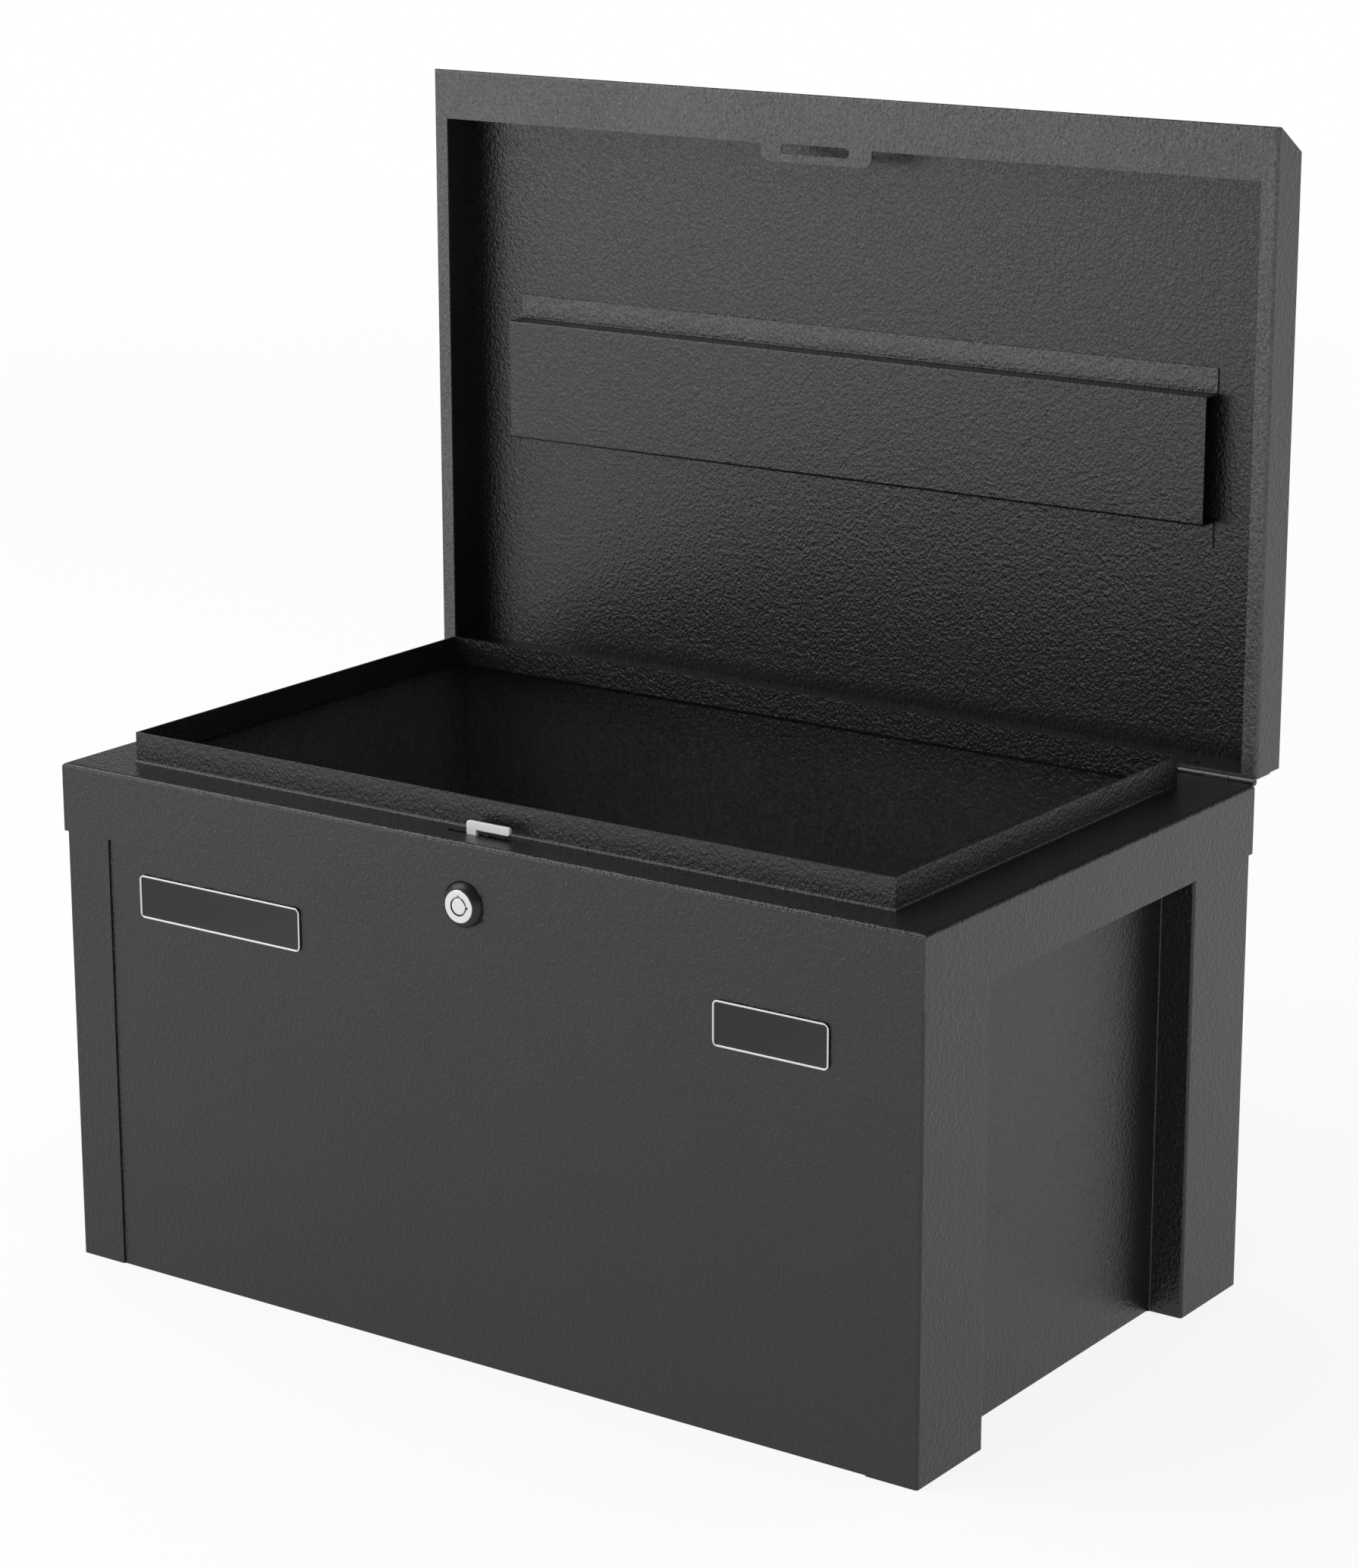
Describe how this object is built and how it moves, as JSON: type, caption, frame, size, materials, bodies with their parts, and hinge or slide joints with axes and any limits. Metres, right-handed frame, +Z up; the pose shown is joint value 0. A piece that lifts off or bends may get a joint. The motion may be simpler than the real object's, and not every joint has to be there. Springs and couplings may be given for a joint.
{
  "type": "steel tool box",
  "caption": "Sheet-steel tool box with folded corner legs, a banded top frame and lip, a key lock with a sliding hook, and a hinged tray lid standing open.",
  "frame": {"origin": "middle of the base, on the face that it stands on", "axes": "+X to the right seen from the front, +Y to the hinge at the back, +Z up"},
  "size_m": [0.66, 0.4348, 0.7537],
  "materials": {
    "hammered_paint": "charcoal powder coat with a fine hammered texture",
    "zinc_plate": "bright zinc plate",
    "lock_chrome": "satin chrome",
    "black_collar": "smooth satin black",
    "badge": "dark anodised field with a bright raised rim",
    "hinge_steel": "plain rolled steel, dulled",
    "black_rivet": "black-coated steel"
  },
  "bodies": {
    "box": {"base_plate": "hammered_paint", "front_panel": "hammered_paint", "rear_panel": "hammered_paint", "left_side_panel": "hammered_paint", "right_side_panel": "hammered_paint", "front_left_leg": "hammered_paint", "front_right_leg": "hammered_paint", "rear_left_leg": "hammered_paint", "rear_right_leg": "hammered_paint", "front_top_rail": "hammered_paint", "rear_top_rail": "hammered_paint", "left_top_rail": "hammered_paint", "right_top_rail": "hammered_paint", "lock_collar": "black_collar", "lock_housing": "lock_chrome", "lock_nut": "zinc_plate", "latch_bracket": "zinc_plate", "latch_guides": "zinc_plate", "left_badge": "badge", "right_badge": "badge", "hinge_fixed_leaf": "hinge_steel", "hinge_pin": "hinge_steel", "hinge_body_rivets": "black_rivet"},
    "lid": {"lid_shell": "hammered_paint", "lid_stiffener": "hammered_paint", "hinge_moving_leaf": "hinge_steel", "hinge_lid_rivets": "black_rivet"},
    "lock_turner": {"lock_core": "lock_chrome", "lock_cam": "zinc_plate", "cam_screw": "zinc_plate"},
    "latch": {"latch_slide": "zinc_plate"}
  },
  "joints": [
    {"name": "lid_hinge", "type": "hinge", "parent": "box", "child": "lid", "pos_m": [0, 0.1994, 0.34], "axis": [1, 0, 0], "range_deg": [0, 90]},
    {"name": "lock_turn", "type": "hinge", "parent": "box", "child": "lock_turner", "pos_m": [0, -0.2021, 0.3], "axis": [0, -1, 0], "range_deg": [0, 90]},
    {"name": "latch_throw", "type": "slide", "parent": "box", "child": "latch", "axis": [-1, 0, 0], "range_m": [0, 0.01414]}
  ],
  "couplings": [
    {"joint": "lock_turn", "follows": "latch_throw", "rad_per_m": 111.07}
  ]
}
